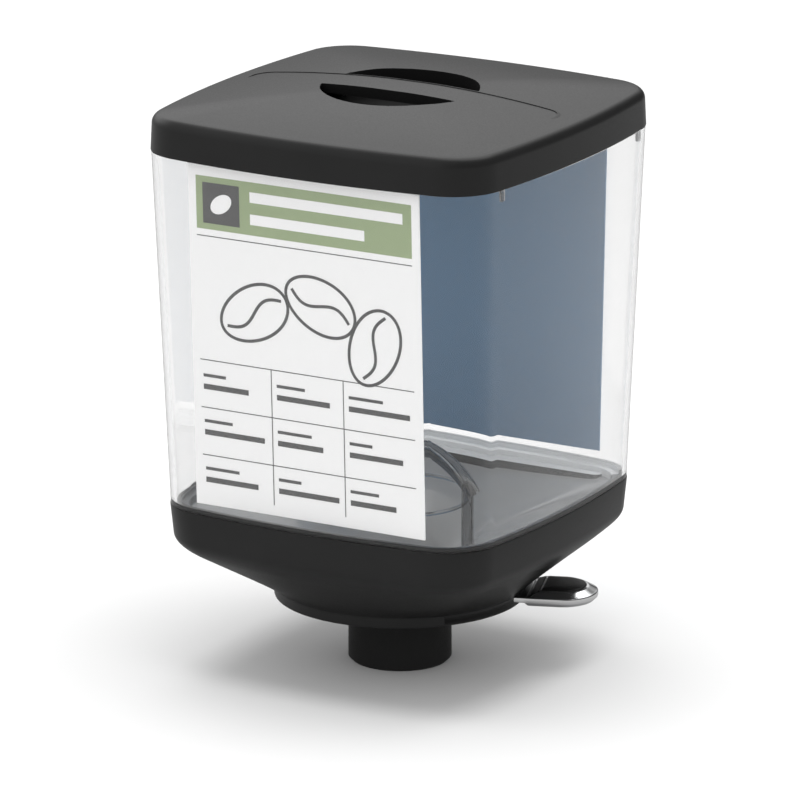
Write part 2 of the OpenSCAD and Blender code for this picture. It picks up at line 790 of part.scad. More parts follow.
// root of the blade's bevelled top, further out than its strap
bevel_root = lever_root_x + bevel_back;
pad_inset = lever_bevel_in + pad_margin;
module pad_form(inset, z0, z1) {
    loft([for (z = [z0, z1]) blade_ring(bevel_root + pad_inset + inset, pad_inset + inset, z)]);
}

module lever_frame() {
    edge = shutter_t / 4;
    color("#d9d9d9") rotate([0, 0, lever_angle]) difference() {
        union() {
            translate([(lap_x + lever_root_x) / 2, 0, 0])
                block(lever_root_x - lap_x, 2 * lap_half, z_lap + running_gap, z_disc_top);
            translate([(lap_end_x + fit_gap + lever_root_x + edge) / 2, 0, 0])
                block(lever_root_x + edge - lap_end_x - fit_gap, lever_w, z_disc, z_disc_top);
            loft([
                blade_ring(lever_root_x + lever_rim_h, lever_rim_h, z_disc - lever_rim_h),
                blade_ring(lever_root_x, edge / 2, z_disc - edge / 4),
                blade_ring(lever_root_x, 0, z_disc + edge),
                blade_ring(lever_root_x, 0, z_disc_top - edge),
                blade_ring(bevel_root, edge / 2, z_disc_top),
                blade_ring(bevel_root + lever_bevel_in, lever_bevel_in, z_lever_top)]);
        }
        pad_form(0, z_lever_top - pad_depth, z_lever_top + cut);
        at_rivets() rivet(running_gap);
    }
}

module lever_pad() {
    pad_root = bevel_root + pad_inset;
    dome_insets = [fit_gap, pad_rise, 4 * pad_rise];
    dome_rises = [0, 0.7 * pad_rise, pad_rise];
    color("#1d1d1d") rotate([0, 0, lever_angle]) loft(concat(
        [blade_ring(pad_root + fit_gap, pad_inset + fit_gap, z_lever_top - pad_depth)],
        [for (i = [0 : 2])
            blade_ring(pad_root + dome_insets[i], pad_inset + dome_insets[i],
                       z_lever_top + dome_rises[i])]));
}

module lever_rivets() {
    color("#bdbdbd") rotate([0, 0, lever_angle]) at_rivets() rivet(0);
}

// the pivot's head lies on the seat, and its washer and nut below the shutter
pivot_head_r = hub_r - hub_rim;
z_washer = z_disc - running_gap - pivot_washer_t;
z_nut = z_washer - pivot_nut_h;
module pivot_bolt() {
    color("#c8c8c8") union() {
        disc(pivot_r, z_nut - cut, z_seat_top + cut);
        disc(pivot_head_r, z_seat_top, z_seat_top + pivot_head_h / 2);
        translate([0, 0, z_seat_top + pivot_head_h / 2])
            cylinder(r1 = pivot_head_r, r2 = pivot_head_r / 2, h = pivot_head_h / 2);
    }
}
module pivot_washer() {
    color("#b8b8b8") tube(pivot_head_r, pivot_r + running_gap, z_washer, z_washer + pivot_washer_t);
}
module pivot_nut() {
    color("#b8b8b8") difference() {
        translate([0, 0, z_nut]) cylinder(r = pivot_head_r, h = pivot_nut_h, $fn = 6);
        disc(pivot_r + running_gap, z_nut - cut, z_washer + cut);
    }
}

// countersunk outlet screw, or its hole when grown
module outlet_screw(grow) {
    head_h = outlet_plate_t;
    disc(screw_r + grow, neck_h, neck_h + outlet_screw_len);
    translate([0, 0, neck_h]) cylinder(r1 = screw_head_r + grow, r2 = screw_r + grow, h = head_h);
}
module outlet_screws() {
    color("#c8c8c8") at_outlet_screws() outlet_screw(0);
}

module outlet_neck() {
    color("#1c1c1c") difference() {
        union() {
            rotate_extrude() polygon([
                [window_r, 0], [neck_r - neck_chamfer, 0], [neck_r, neck_chamfer], [neck_r, neck_h],
                [plate_r, neck_h], [plate_r, z_plate_top], [window_r, z_plate_top]]);
            at_outlet_screws() disc(boss_r, z_plate_top - cut / 2, z_seat);
        }
        at_outlet_screws() outlet_screw(fit_gap);
    }
}

lid_shell();
lid_pocket_tray();
hopper_body();
lid_guides();
front_card_holder();
front_card();
rear_card_holder();
rear_card();
base_housing();
funnel_tray();
funnel_screws();
finger_guard();
guard_screws();
spout_seal();
shutter_seat();
shutter_disc();
lever_frame();
lever_pad();
lever_rivets();
pivot_bolt();
pivot_washer();
pivot_nut();
outlet_neck();
outlet_screws();
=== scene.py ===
import bmesh
import bpy
import math
import numpy as np
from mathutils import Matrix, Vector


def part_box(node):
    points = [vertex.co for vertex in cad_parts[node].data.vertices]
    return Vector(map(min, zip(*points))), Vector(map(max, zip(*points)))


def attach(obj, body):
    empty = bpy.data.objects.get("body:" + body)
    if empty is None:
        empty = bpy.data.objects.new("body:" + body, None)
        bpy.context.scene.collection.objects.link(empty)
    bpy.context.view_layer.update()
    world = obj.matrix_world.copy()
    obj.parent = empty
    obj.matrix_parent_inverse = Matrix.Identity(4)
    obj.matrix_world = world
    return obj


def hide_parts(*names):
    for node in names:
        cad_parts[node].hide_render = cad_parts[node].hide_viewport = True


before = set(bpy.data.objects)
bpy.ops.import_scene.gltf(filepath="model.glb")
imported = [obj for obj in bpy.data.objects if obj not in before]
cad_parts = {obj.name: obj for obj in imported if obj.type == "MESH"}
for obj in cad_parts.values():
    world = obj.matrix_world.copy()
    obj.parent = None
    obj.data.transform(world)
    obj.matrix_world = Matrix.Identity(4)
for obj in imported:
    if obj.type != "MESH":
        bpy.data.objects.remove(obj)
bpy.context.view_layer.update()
scene = bpy.context.scene
mm = 0.001  # sizes below are in millimetres, and the mesh builder turns them to metres
quarter = math.pi / 2
touch = 0.1  # a face counts as on a surface when its middle is nearer than this
softShare = 0.3  # the middle point of a small round edge, as a share of its radius
tiny = 1e-4  # least radius of a round that comes to a point
print("frame loaded")

# view: the photograph's long lens, from the right of the front card and a little above
cameraSet = {"azimuth": 29.99, "elevation": 15.86, "distance": 3558, "target": (0, 0, 125.47),
             "lens": 343.44, "sensor": 36, "clipEnd": 50}


def placeCamera(s):
    # the camera stands back from its target along the view's direction
    a = math.radians(s["azimuth"])
    e = math.radians(s["elevation"])
    back = np.array([math.sin(a) * math.cos(e), -math.cos(a) * math.cos(e), math.sin(e)])
    data = bpy.data.cameras.new("studioCamera")
    data.lens = s["lens"]
    data.sensor_width = s["sensor"]
    data.clip_end = s["clipEnd"]
    camera = bpy.data.objects.new("studioCamera", data)
    camera.location = (np.array(s["target"]) + s["distance"] * back) * mm
    camera.rotation_euler = (quarter - e, 0, a)
    scene.collection.objects.link(camera)
    scene.camera = camera


placeCamera(cameraSet)
print("camera placed")


def linear(hexText):
    # each sRGB channel to linear light
    c = np.array([int(hexText[i:i + 2], 16) for i in (1, 3, 5)]) / 255
    return (*np.where(c <= 0.04045, c / 12.92, ((c + 0.055) / 1.055) ** 2.4), 1.0)


def addNode(tree, kind, values=(), links=(), **settings):
    # one node with its settings, the values of its sockets and the sources linked to them
    node = tree.nodes.new(kind)
    for name, value in settings.items():
        setattr(node, name, value)
    for socket, value in dict(values).items():
        node.inputs[socket].default_value = value
    for socket, source in dict(links).items():
        tree.links.new(source, node.inputs[socket])
    return node


# sockets of a Mix node that mixes colours
colourA = 6
colourB = 7
colourOut = 2


def startMaterial(name):
    # an empty material, its node tree and the place on the piece that its patterns read
    material = bpy.data.materials.new(name)
    material.use_nodes = True
    tree = material.node_tree
    tree.nodes.clear()
    return material, tree, addNode(tree, "ShaderNodeTexCoord").outputs["Object"]


def endMaterial(tree, shader):
    # the shader becomes the material's surface
    addNode(tree, "ShaderNodeOutputMaterial", links={"Surface": shader})


# moulded plastic: spark-eroded tool, so an even fine grain and a soft sheen that drifts a little over the
# face. The real grain is about 0.2 mm; it is drawn as coarse as it needs to show
def mouldedPlastic(name, dark, light, rough, grainMm, depthMm, patchMm=22, specular=0.5):
    material, tree, place = startMaterial(name)
    spread = 0.05  # how far the roughness goes to either side
    patch = addNode(tree, "ShaderNodeTexNoise", {"Scale": 1 / (patchMm * mm), "Detail": 2},
                    {"Vector": place})
    grain = addNode(tree, "ShaderNodeTexNoise", {"Scale": 1 / (grainMm * mm), "Detail": 3, "Roughness": 0.6},
                    {"Vector": place})
    tone = addNode(tree, "ShaderNodeMix", {colourA: linear(dark), colourB: linear(light)},
                   {"Factor": patch.outputs["Fac"]}, data_type="RGBA")
    gloss = addNode(tree, "ShaderNodeMapRange",
                    {"From Min": 0.3, "From Max": 0.7, "To Min": rough - spread, "To Max": rough + spread},
                    {"Value": grain.outputs["Fac"]})
    bump = addNode(tree, "ShaderNodeBump", {"Strength": 0.35, "Distance": depthMm * mm},
                   {"Height": grain.outputs["Fac"]})
    skin = addNode(tree, "ShaderNodeBsdfPrincipled", {"IOR": 1.5, "Specular IOR Level": specular},
                   {"Base Color": tone.outputs[colourOut], "Roughness": gloss.outputs["Result"],
                    "Normal": bump.outputs["Normal"]})
    endMaterial(tree, skin.outputs["BSDF"])
    return material


# clear polycarbonate: polished mould, so plain refraction and sharp reflections; lamps shine through it,
# and its depth takes up a little light, by the haze per metre
def clearPlastic(name, tint, haze, ior=1.49):
    material, tree = startMaterial(name)[:2]
    glass = addNode(tree, "ShaderNodeBsdfPrincipled",
                    {"Base Color": linear(tint), "Roughness": 0, "IOR": ior, "Transmission Weight": 1})
    passing = addNode(tree, "ShaderNodeBsdfTransparent", {"Color": linear(tint)})
    path = addNode(tree, "ShaderNodeLightPath").outputs
    lit = addNode(tree, "ShaderNodeMath", links={0: path["Is Shadow Ray"], 1: path["Is Diffuse Ray"]},
                  operation="MAXIMUM")
    mix = addNode(tree, "ShaderNodeMixShader",
                  links={0: lit.outputs[0], 1: glass.outputs["BSDF"], 2: passing.outputs["BSDF"]})
    depth = addNode(tree, "ShaderNodeVolumeAbsorption", {"Color": (0, 0, 0, 1), "Density": haze})
    addNode(tree, "ShaderNodeOutputMaterial",
            links={"Surface": mix.outputs["Shader"], "Volume": depth.outputs["Volume"]})
    return material


# coated card: matt, with a faint mottle of fibres and ink
def cardStock(name, dark, light, rough, fibreMm=3):
    material, tree, place = startMaterial(name)
    fibre = addNode(tree, "ShaderNodeTexNoise", {"Scale": 1 / (fibreMm * mm), "Detail": 6, "Roughness": 0.7},
                    {"Vector": place})
    tone = addNode(tree, "ShaderNodeMix", {colourA: linear(dark), colourB: linear(light)},
                   {"Factor": fibre.outputs["Fac"]}, data_type="RGBA")
    sheet = addNode(tree, "ShaderNodeBsdfPrincipled", {"Roughness": rough, "Specular IOR Level": 0.3},
                    {"Base Color": tone.outputs[colourOut]})
    endMaterial(tree, sheet.outputs["BSDF"])
    return material


# plated metal: bright, with fine polishing scratches that vary the gloss
def platedMetal(name, colour, rough, spread, scratchMm=0.5, stretch=(1, 0.08, 1)):
    material, tree, place = startMaterial(name)
    along = addNode(tree, "ShaderNodeMapping", {"Scale": stretch}, {"Vector": place})
    scratch = addNode(tree, "ShaderNodeTexNoise", {"Scale": 1 / (scratchMm * mm), "Detail": 3},
                      {"Vector": along.outputs["Vector"]})
    gloss = addNode(tree, "ShaderNodeMapRange", {"To Min": rough - spread, "To Max": rough + spread},
                    {"Value": scratch.outputs["Fac"]})
    metal = addNode(tree, "ShaderNodeBsdfPrincipled", {"Base Color": linear(colour), "Metallic": 1},
                    {"Roughness": gloss.outputs["Result"]})
    endMaterial(tree, metal.outputs["BSDF"])
    return material


absGrain = {"grainMm": 0.7, "depthMm": 0.04}
funnelGrain = {"grainMm": 1.2, "depthMm": 0.006, "patchMm": 30}
blackAbs = mouldedPlastic("blackMouldedAbs", "#191919", "#1d1d1d", 0.34, specular=0.31, **absGrain)
# darker, duller black for the lid's recesses and pocket tray and the turret's slot: painted shade
recessPaintedShadeAbs = mouldedPlastic("blackMouldedAbsPaintedShade", "#111111", "#141414", 0.6, 0.7, 0.05, specular=0.15)
neckAbs = mouldedPlastic("blackTurnedAbs", "#202020", "#242424", 0.45, specular=0.35, **absGrain)
# the pad's own black, which also paints the dark reflection on the lever's bevel towards the turret
padBlackAndPaintedReflection = mouldedPlastic("grainedBlackPadAndPaintedReflection", "#101010", "#151515", 0.4, 0.6, 0.05)
darkAcetal = mouldedPlastic("darkAcetal", "#111111", "#151515", 0.25, 0.8, 0.02)
sealRubber = mouldedPlastic("blackSilicone", "#141414", "#181818", 0.7, 0.5, 0.03)
# painted reflection and shade: the funnel's tones are not the plastic's own colour but stand for what its
# parts mirror through the clear wall, light on the rear rim, grey on the floor and flange, dark on the side
# rims and the ledges' faces
funnelLook = "glossPolycarbonatePaintedReflection"
funnelPaintedReflection = mouldedPlastic(funnelLook, "#999b9d", "#a0a2a3", 0.14, **funnelGrain)
funnelRimPaintedLight = mouldedPlastic(funnelLook + "Rim", "#dee1e4", "#e3e6e8", 0.2, **funnelGrain)
funnelFlangePaintedGrey = mouldedPlastic(funnelLook + "Top", "#a4a6a8", "#a9abad", 0.4, specular=0.2, **funnelGrain)
funnelSidePaintedShade = mouldedPlastic(funnelLook + "Edge", "#727476", "#787a7c", 0.5, specular=0.15, **funnelGrain)
funnelFacePaintedShade = mouldedPlastic(funnelLook + "Face", "#282a2c", "#2e3032", 0.4, specular=0.2, **funnelGrain)
clearBody = clearPlastic("clearPolycarbonate", "#fefefe", 25)
clearGuard = clearPlastic("clearPolycarbonateGuard", "#f8fafb", 190)
clearGuide = clearPlastic("clearPolycarbonateGuide", "#f8fafb", 800)
clearFilm = clearPlastic("clearFilmPocket", "#ffffff", 0, 1.003)  # wetted to the card, so it hardly shows
whiteCard = cardStock("whiteCoatedCard", "#fbfbfb", "#fdfdfd", 0.6)
blueCard = cardStock("slateBlueCard", "#587d9e", "#5a7fa0", 0.65)
sageInk = cardStock("sageGreenInk", "#98a881", "#9eae87", 0.65)
greyInk = cardStock("darkGreyInk", "#505050", "#565656", 0.6)
chromedZinc = platedMetal("satinChromedZinc", "#e6e7e8", 0.13, 0.05)
brightZinc = platedMetal("brightChromedZinc", "#fafafa", 0.1, 0.04)
zincSteel = platedMetal("zincPlatedSteel", "#b9bbbd", 0.3, 0.08)
print("materials made")

# meshes: distances in metres at which points are merged and thin faces dropped, and angles of a sharp edge
meshSet = {"weld": 1e-6, "thin": 1e-7, "sharp": 35, "carvedSharp": 30}


def quads(rows, cols, closeRows=False, closeCols=True, first=0):
    # four-cornered faces of a grid whose points run along a row first
    r = np.arange(rows if closeRows else rows - 1)[:, None]
    c = np.arange(cols if closeCols else cols - 1)[None, :]
    r2 = (r + 1) % rows
    c2 = (c + 1) % cols
    return first + np.stack([r * cols + c, r * cols + c2, r2 * cols + c2, r2 * cols + c], -1).reshape(-1, 4)


def buildPiece(name, grids, material, body, slot, replaces=()):
    # each grid is (points of shape rows x columns x 3 in mm, closed along rows, closed along columns)
    points = []
    faces = []
    count = 0
    for grid, closeRows, closeCols in grids:
        rows, cols = grid.shape[:2]
        points.append(grid.reshape(-1, 3) * mm)
        faces.append(quads(rows, cols, closeRows, closeCols, count))
        count += rows * cols
    mesh = bpy.data.meshes.new(name)
    mesh.from_pydata(np.concatenate(points), [], np.concatenate(faces))
    return finishPiece(name, mesh, material, body, slot, replaces)


def smooth(mesh, sharp):
    # shades a mesh smoothly but for edges that turn by more than an angle
    mesh.polygons.foreach_set("use_smooth", np.ones(len(mesh.polygons), bool))
    mesh.set_sharp_from_angle(angle=math.radians(sharp))


def finishPiece(name, mesh, material, body, slot, replaces=()):
    # welds and smooths a mesh, gives it its material and puts it on its body
    shape = bmesh.new()
    shape.from_mesh(mesh)
    bmesh.ops.remove_doubles(shape, verts=shape.verts, dist=meshSet["weld"])
    bmesh.ops.dissolve_degenerate(shape, edges=shape.edges, dist=meshSet["thin"])
    shape.to_mesh(mesh)
    shape.free()
    smooth(mesh, meshSet["sharp"])
    mesh.materials.clear()
    mesh.materials.append(material)
    piece = bpy.data.objects.new(name, mesh)
    scene.collection.objects.link(piece)
    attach(piece, body)
    if replaces:
        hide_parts(*replaces)
    return piece


def carve(piece, how, *shapes):
    # boolean cuts or joins, applied to the mesh
    for grids in shapes:
        tool = buildPiece("tool", grids, piece.data.materials[0], "hopper", "black_abs")
        cut = piece.modifiers.new("carve", "BOOLEAN")
        cut.operation = how
        cut.solver = "EXACT"
        cut.object = tool
        bpy.context.view_layer.update()
        done = piece.evaluated_get(bpy.context.evaluated_depsgraph_get())
        made = bpy.data.meshes.new_from_object(done)
        piece.modifiers.clear()
        piece.data = made
        bpy.data.objects.remove(tool)
    smooth(piece.data, meshSet["carvedSharp"])


def facesOf(piece):
    # middle in mm and normal of each face, as six arrays
    faces = piece.data.polygons
    out = []
    for what, scale in (("center", mm), ("normal", 1)):
        values = np.zeros(len(faces) * 3)
        faces.foreach_get(what, values)
        out += list(values.reshape(-1, 3).T / scale)
    return out


def toneFaces(piece, choice, *tones):
    # gives a piece more materials, and each face the one that its choice counts to
    for tone in tones:
        piece.data.materials.append(tone)
    piece.data.polygons.foreach_set("material_index", choice.astype(np.int32))


def carryOver(node, material, slot, body="hopper"):
    # a welded, smoothly shaded copy of a CAD node's own mesh
    return finishPiece(node + "Finished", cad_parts[node].data.copy(), material, body, slot, [node])


# columns of every square form: angles round the axis, closer together at the corners
columnSet = {"count": 384, "crowd": 0.15}
step = np.arange(columnSet["count"]) * 2 * math.pi / columnSet["count"]
theta = step + columnSet["crowd"] * np.sin(4 * step)
around = np.stack([np.cos(theta), np.sin(theta)], -1)


def bowedSquare(half, bow, corner):
    # distance from the axis to a square with bowed sides: a flat arc along each side, and at each corner an
    # arc that is tangent to two of them. The side's arc has radius r and its middle at b on the axis of the
    # side, the corner's arc has its middle at (k, k), and they join at the angle t about b
    h = half - corner
    r = (h * h + bow * bow) / (2 * bow)
    b = half - r
    k = (2 * b + math.sqrt(4 * b * b - 8 * (b * b - (r - corner) ** 2))) / 4
    t = math.atan2(k, k - b)
    join = math.atan2(r * math.sin(t), b + r * math.cos(t))
    fold = np.abs((theta + math.pi / 4) % quarter - math.pi / 4)
    s = np.sin(fold)
    c = np.cos(fold)
    side = b * c + np.sqrt(r * r - (b * s) ** 2)
    turn = k * (c + s) + np.sqrt(np.maximum(corner ** 2 - (k * (c - s)) ** 2, 0))
    return np.where(fold < join, side, turn)


def atHeight(outline, z):
    # flat points of shape n x 2, lifted to one height or each to its own
    return np.c_[outline, np.broadcast_to(z, len(outline))]


def rings(rows):
    # rows are (distance from the axis per column, height)
    r = np.array([np.broadcast_to(d, theta.shape) for d, z in rows])
    z = np.array([np.broadcast_to(z, theta.shape) for d, z in rows])
    return np.concatenate([r[..., None] * around, z[..., None]], -1)


def bezier(a, c, b, n):
    # points of a curve that leaves a towards c and arrives at b from c
    t = np.linspace(0, 1, n)[:, None]
    return (1 - t) ** 2 * np.array(a) + 2 * t * (1 - t) * np.array(c) + t ** 2 * np.array(b)


def prism(outline, z0, z1):
    # closed upright prism over a convex outline of shape n x 2, with a fan at each end
    mid = np.broadcast_to(outline.mean(0), outline.shape)
    rows = [atHeight(mid, z0), atHeight(outline, z0), atHeight(outline, z1), atHeight(mid, z1)]
    return [(np.stack(rows), False, True)]


def roundedLoop(half, edge, inset=0, n=5):
    # rectangle with round corners: an arc at each corner, drawn in towards the arc's middle by the inset
    turn = np.linspace(0, quarter, n)
    signs = np.repeat([[1, 1], [-1, 1], [-1, -1], [1, -1]], n, 0)
    angle = np.concatenate([turn + q for q in np.arange(4) * quarter])
    arcs = np.stack([np.cos(angle), np.sin(angle)], -1)
    return signs * (np.array(half) - edge) + arcs * max(edge - inset, tiny)


def roundedBox(low, high, edge, n=5):
    # box with round edges: rounded loops that come in along a quarter circle at the lower and upper end
    low = np.array(low, float)
    high = np.array(high, float)
    mid = (high + low) / 2
    turn = np.linspace(0, quarter, n)
    inset = edge * (1 - np.sin(turn))
    rise = edge * (1 - np.cos(turn))
    loops = [roundedLoop((high - low)[:2] / 2, edge, i, n) + mid[:2] for i in inset]
    rows = [atHeight(p, low[2] + d) for p, d in zip(loops, rise)]
    rows += [atHeight(p, high[2] - d) for p, d in zip(loops[::-1], rise[::-1])]
    centre = np.broadcast_to(mid[:2], loops[0].shape)
    return np.stack([atHeight(centre, low[2])] + rows + [atHeight(centre, high[2])]), False, True


# lid: skirt with a little draft, round upper edge, crown that rises with the square of the way in,
# two half-moon recesses
lidSet = {"half": 95, "bow": 4.7, "corner": 25.7, "low": 252.2, "edgeZ": 264.6, "draft": 0.6, "edgeR": 4.8,
          "crownH": 7.0, "wall": 2.6, "lowR": 0.2, "footIn": 1.0, "skirtFrom": 0.5, "innerR": 0.3,
          "edgeTurn": 79, "innerTurn": 75, "crownFrom": 0.985, "crownTo": 0.06,
          "recessR": 37, "barHalf": 11, "barT": 5.2, "pocketZ": 262.4, "collar": 2,
          "cutBelow": 2, "cutAbove": 5, "slabBelow": 1}


def lidOutline(inset, s=lidSet):
    # the lid's square, set in by a distance
    return bowedSquare(s["half"] - inset, s["bow"], s["corner"] - inset)


def crownAt(share, s=lidSet):
    # height of the crown at a share of the way from the axis to its foot
    return s["edgeZ"] + s["edgeR"] + s["crownH"] * (1 - share ** 2)


def makeLid(s):
    out = lidOutline
    low = s["low"]
    foot = out(s["draft"] + s["edgeR"])
    crownZ = crownAt(0)
    collar = np.full(theta.shape, s["recessR"] + s["collar"])
    # the skirt's foot and outside, then the round edge and the crown
    rows = [(out(s["footIn"]), low), (out(s["lowR"]), low)]
    rows += [(out(s["lowR"] * softShare), low + s["lowR"] * softShare), (out(0), low + s["lowR"])]
    rows += [(out(0), low + s["skirtFrom"])]
    for t in np.linspace(0.1, 0.9, 5):
        rows.append((out(s["draft"] * t), low + s["skirtFrom"] + t * (s["edgeZ"] - low - s["skirtFrom"])))
    for a in np.radians(np.linspace(0, s["edgeTurn"], 13)):
        inset = s["draft"] + s["edgeR"] * (1 - math.cos(a))
        rows.append((out(inset), s["edgeZ"] + s["edgeR"] * math.sin(a)))
    for share in np.r_[np.linspace(s["crownFrom"], s["crownTo"], 26), 0.0]:
        rows.append((foot * share, crownAt(share)))
    # the solid under the recesses, then the inside of the crown, the edge and the skirt
    rows += [(collar * share, s["pocketZ"]) for share in (0, 0.5, 1)]
    inCollar = collar / foot
    for t in np.linspace(0, 1, 11):
        share = inCollar + (s["crownFrom"] - inCollar) * t
        rows.append((foot * share, crownAt(share) - s["wall"]))
    inner = s["edgeR"] - s["wall"]
    for a in np.radians(np.linspace(s["innerTurn"], 0, 6)):
        inset = s["draft"] + s["edgeR"] - inner * math.cos(a)
        rows.append((out(inset), s["edgeZ"] + inner * math.sin(a)))
    rows += [(out(s["wall"]), low + s["innerR"]), (out(s["wall"] - s["innerR"]), low)]
    lid = buildPiece("lidShell", [(rings(rows), True, True)], blackAbs, "lid", "black_abs", ["lid_shell"])
    # each recess is a circle's part beyond the grip bar, and they join below the bar
    tip = math.asin(s["barHalf"] / s["recessR"])
    t = np.linspace(tip, math.pi - tip, 120)
    moon = s["recessR"] * np.stack([np.cos(t), np.sin(t)], -1)
    under = crownZ - s["barT"]
    moons = [prism(m, s["pocketZ"] - s["cutBelow"], crownZ + s["cutAbove"]) for m in (moon, -moon)]
    slab = prism(s["recessR"] * around[::2], s["pocketZ"] - s["slabBelow"], under)
    carve(lid, "DIFFERENCE", *moons, slab)
    # painted shade: the faces inside the recesses take the darker black
    x, y, z = facesOf(lid)[:3]
    below = (z < under + touch) | (np.abs(y) > s["barHalf"] - touch)
    toneFaces(lid, (np.hypot(x, y) < s["recessR"] + 2 * touch) & below, recessPaintedShadeAbs)


makeLid(lidSet)
# the pocket tray, the recesses' floor, takes the darker black too: painted shade
carryOver("lid_pocket_tray", recessPaintedShadeAbs, "black_abs", "lid")

# crease: low step on the crown behind the front panel, straight along the grip bar,
# with round ends that fade to the front
creaseSet = {"y": 9.3, "halfX": 80.6, "turnR": 7, "tail": 6, "high": 0.3, "top": 0.3, "back": 1.5,
             "sunk": 0.25, "endSunk": 0.05, "backSunk": 0.02}


def makeCrease(s, lid=lidSet):
    # a wedge section carried along the line; its height falls to nothing over the tails
    a = np.linspace(0, quarter, 14)
    c = s["halfX"] - s["turnR"]
    low = s["y"] - s["turnR"]
    tail = np.stack([np.full(12, s["halfX"]), np.linspace(low - s["tail"], low, 12)], -1)[:-1]
    bend = np.stack([c + s["turnR"] * np.cos(a), low + s["turnR"] * np.sin(a)], -1)
    half = np.concatenate([tail, bend])
    run = np.stack([np.linspace(c, -c, 60), np.full(60, s["y"])], -1)[1:-1]
    path = np.concatenate([half, run, (half * (-1, 1))[::-1]])
    d = np.gradient(path, axis=0)
    out = np.stack([d[:, 1], -d[:, 0]], -1) / np.hypot(*d.T)[:, None]
    fade = np.clip((path[:, 1] - low + s["tail"]) / s["tail"], 0, 1)
    high = s["high"] * fade - s["endSunk"] * (1 - fade)
    foot = lidOutline(lid["draft"] + lid["edgeR"])

    def line(offset, rise):
        # the path moved sideways by an offset, on the crown and above it by a rise
        p = path + out * offset
        angle = np.arctan2(p[:, 1], p[:, 0]) % (2 * math.pi)
        share = np.hypot(*p.T) / np.interp(angle, theta, foot, period=2 * math.pi)
        return atHeight(p, crownAt(share) + rise)

    rows = [line(0, -s["sunk"]), line(0, high), line(s["top"], high)]
    rows += [line(s["back"], np.minimum(high, 0) - s["backSunk"]), line(s["back"], -s["sunk"])]
    ends = [np.array([[rows[0][i], rows[1][i]], [rows[4][i], rows[3][i]]]) for i in (0, -1)]
    grids = [(np.stack(rows), True, False), (ends[0], False, False), (ends[1][::-1], False, False)]
    buildPiece("lidCrease", grids, blackAbs, "lid", "black_abs")


makeCrease(creaseSet)
print("lid made")

# clear body: the base's outline below and the lid's above, one straight wall between them
bodySet = {"seam": 83.1, "lowHalf": 88.9, "lowBow": 3.9, "lowCorner": 27, "highHalf": 94.8, "wall": 2.8,
           "edge": 0.2, "edgeRow": 0.1, "rowsFrom": 4}


def makeBody(s, lid=lidSet):
    z0 = s["seam"]
    z1 = lid["low"]
    e = s["edge"]
    soft = e * softShare
    w = s["wall"]

    def ring(inset, z):
        # the outline goes in a straight line from the lower to the upper one
        lower = bowedSquare(s["lowHalf"] - inset, s["lowBow"], s["lowCorner"] - inset)
        upper = bowedSquare(s["highHalf"] - inset, lid["bow"], lid["corner"] - inset)
        return lower + (upper - lower) * (z - z0) / (z1 - z0), z

    between = np.linspace(z0 + s["rowsFrom"], z1 - s["rowsFrom"], 12)
    heights = np.r_[z0 + e, z0 + e + s["edgeRow"], between, z1 - e - s["edgeRow"], z1 - e]
    rows = [ring(e, z0), ring(soft, z0 + soft)] + [ring(0, z) for z in heights]
    rows += [ring(soft, z1 - soft), ring(e, z1), ring(w - e, z1), ring(w - soft, z1 - soft)]
    rows += [ring(w, z) for z in heights[::-1]] + [ring(w - soft, z0 + soft), ring(w - e, z0)]
    buildPiece("clearBody", [(rings(rows), True, True)], clearBody, "hopper", "clear_polycarbonate",
               ["hopper_body"])


makeBody(bodySet)
carryOver("lid_guides", clearGuide, "clear_polycarbonate")
print("clear body made")

# base: upright side, round, flat slope and hollow blend down to a round turret; the outline goes from square
# to circle on the way, and a point of the line is (way in, height). The lip, (outer, inner, top), reaches a
# little into the clear wall, as a bond without air between them looks
# A step of the lip's inside is (set in, depth)
baseSet = {"half": 89.1, "turretR": 59.05, "boreR": 56.55, "boreTop": 41.0, "foot": 32.3, "footR": 0.5,
           "wall": 2.6, "sideTop": 0.6, "side": (0.9, 68.1), "round": (7.4, 57.9), "blend": (22.15, 44.9),
           "turret": (30.05, 37.0), "seamR": (0.15, 0.5), "lip": (86.6, 84.15, 85.1), "lipR": 0.3,
           "lipDeep": 6, "lipStep": (0.9, 9), "underLift": 1.2,
           "slotHalf": 39.5, "slotZ": (34.3, 37.5), "slotR": (52, 66),
           "screwAt": 60, "boreHoleR": 3.55, "boreFrom": 40, "headH": 2.4}


def baseOutline(inset, s=baseSet, body=bodySet):
    # the base's square, set in by a distance
    return bowedSquare(s["half"] - inset, body["lowBow"], body["lowCorner"] - inset)


